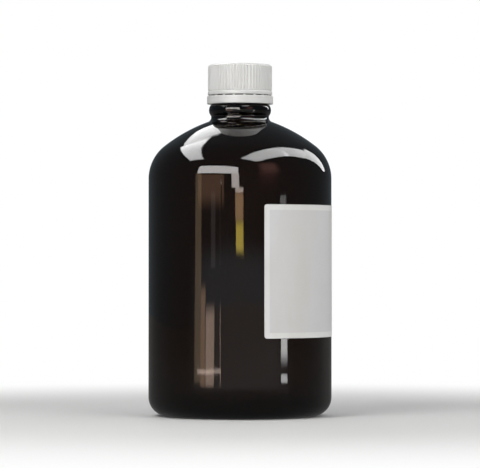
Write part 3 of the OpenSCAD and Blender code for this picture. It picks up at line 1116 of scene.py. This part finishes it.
def behind(tree, x, y):
    """1 for what stands behind the bottle as the camera sees it, from a direction's x and y."""
    return tree.ramp(ahead(tree, x, y), 0.985, 0.9995)


def front(tree, x, y):
    """1 for the part of the room that the camera stands in."""
    return tree.ramp(ahead(tree, x, y), -0.35, -0.8)


def ray_masks(tree):
    """1 for what is seen directly or through glass, and 1 for what surfaces mirror."""
    path = tree.node("ShaderNodeLightPath").outputs
    direct = tree("MINIMUM", tree.total(path["Is Camera Ray"], path["Is Transmission Ray"]), 1.0)
    return direct, tree.product(path["Is Glossy Ray"], tree.minus(1.0, direct))


def floor_material():
    """Grey near the bottle, fading to the white of the world. Where surfaces mirror it, it is
    mostly a painted glow in place of its lit self: a dim painted reflection, a painted brighter
    band in front of the bottle, and the backdrop's white behind it.
    """
    floor = Finish("Floor", Base_Color=(*chosen("stage").floor, 1.0), Roughness=0.6, IOR=1.4)
    floor.bump(floor.noise(500.0), 0.02 * MM, strength=0.3)
    x, y, _ = floor.split(floor.read("ShaderNodeTexCoord", "Object"))
    r = floor.distance(x, y)
    away = floor.over(x, r), floor.over(y, r)
    fade = floor.ramp(r, 0.22, 0.62)
    direct, glossy = ray_masks(floor)
    # painted reflection: a brighter band of floor in front of the bottle, seen only where surfaces
    # mirror it
    near = floor.product(floor.ramp(r, 0.30, 0.70), front(floor, *away), 0.26)
    far = floor.product(fade, behind(floor, *away), 0.9)
    # painted reflection: in mirroring surfaces the floor glows dim, plus that band and the
    # backdrop's white behind the bottle
    mirrored = floor.product(glossy, floor.total(0.09, near, far))
    white = floor.node("ShaderNodeEmission", Strength=floor.total(direct, mirrored))
    # where surfaces mirror the floor, this painted glow takes the place of most of its lit shading
    blend = floor.node("ShaderNodeMixShader",
                       Fac=floor.total(floor.product(fade, direct), floor.product(glossy, 0.9)))
    floor.feed(blend.inputs[1], floor.shader.outputs["BSDF"])
    floor.feed(blend.inputs[2], white.outputs["Emission"])
    floor.feed(floor.output["Surface"], blend.outputs["Shader"])
    return floor.material


def studio_world():
    """White to the camera and behind the bottle, dim in front of it, and an even grey fill."""
    world = bpy.data.worlds.new("Studio")
    world.use_nodes = True
    bpy.context.scene.world = world
    room = NodeWriter(world.node_tree)
    x, y, z = room.split(room.read("ShaderNodeTexCoord", "Generated"))
    direct, glossy = ray_masks(room)
    near = room.product(room.ramp(z, 0.004, -0.012), front(room, x, y), 0.26)
    mirrored = room.product(glossy, room.total(0.10, near, room.product(behind(room, x, y), 0.85)))
    diffuse = room.minus(room.minus(1.0, direct), glossy)
    background = world.node_tree.nodes["Background"].inputs
    room.feed(background["Strength"], room.total(direct, mirrored, room.product(diffuse, 0.55)))
    room.feed(background["Color"], room.mix(glossy, WHITE, (0.84, 1.0, 1.12)))


class BOTTLE_OT_stage(bpy.types.Operator):
    """Set up the floor, the lamps, the world and the camera"""

    bl_idname = "bottle.stage"
    bl_label = "Stage"

    def execute(self, context):
        s, scene = chosen("stage"), context.scene
        scene.view_settings.view_transform = "Standard"
        mesh = bpy.data.meshes.new("floor")
        rim = [(s.floor_radius * math.cos(a), s.floor_radius * math.sin(a), 0.0)
               for a in even_columns(FLOOR_COLUMNS)]
        mesh.from_pydata(rim, [], [tuple(range(FLOOR_COLUMNS))])
        mesh.materials.append(floor_material())
        floor = added("floor", mesh)
        studio_world()
        lamps()
        camera = added("camera", bpy.data.cameras.new("camera"))
        camera.data.lens = s.lens
        camera.data.clip_end = 50
        camera.location = on_stage(0, s.distance, s.eye)
        look = Vector((0, 0, s.aim)) - camera.location
        camera.rotation_euler = look.to_track_quat("-Z", "Y").to_euler()
        scene.camera = camera
        return {"FINISHED"}


# ---------------- add-on


class BOTTLE_PT_panel(bpy.types.Panel):
    """Lists the sizes, the pieces and the stage"""

    bl_idname = "BOTTLE_PT_panel"
    bl_label = "Reagent bottle"
    bl_space_type = "VIEW_3D"
    bl_region_type = "UI"
    bl_category = "Bottle"

    def draw(self, context):
        for group in GROUPS:
            box = self.layout.box()
            settings = getattr(context.scene, group)
            for name in settings.bl_rna.properties.keys():
                if name not in ("rna_type", "name"):
                    box.prop(settings, name)
        for operator in OPERATORS:
            self.layout.operator(operator.bl_idname)


GROUPS = {
    "bottle_glass": BottleGlass,
    "bottle_thread": BottleThread,
    "bottle_closure": BottleClosure,
    "bottle_label": BottleLabel,
    "bottle_stage": BottleStage,
}
OPERATORS = (BOTTLE_OT_stage, BOTTLE_OT_glass, BOTTLE_OT_tamper_ring, BOTTLE_OT_cap,
             BOTTLE_OT_liner, BOTTLE_OT_label)


def register():
    for cls in (*GROUPS.values(), *OPERATORS, BOTTLE_PT_panel):
        bpy.utils.register_class(cls)
    for name, cls in GROUPS.items():
        setattr(bpy.types.Scene, name, PointerProperty(type=cls))


def unregister():
    for name in GROUPS:
        delattr(bpy.types.Scene, name)
    for cls in (BOTTLE_PT_panel, *reversed(OPERATORS), *reversed(list(GROUPS.values()))):
        bpy.utils.unregister_class(cls)


def main():
    register()
    bpy.ops.bottle.stage()
    bpy.ops.bottle.glass()
    bpy.ops.bottle.tamper_ring()
    bpy.ops.bottle.cap()
    bpy.ops.bottle.liner()
    bpy.ops.bottle.label()


if __name__ == "__main__":
    main()
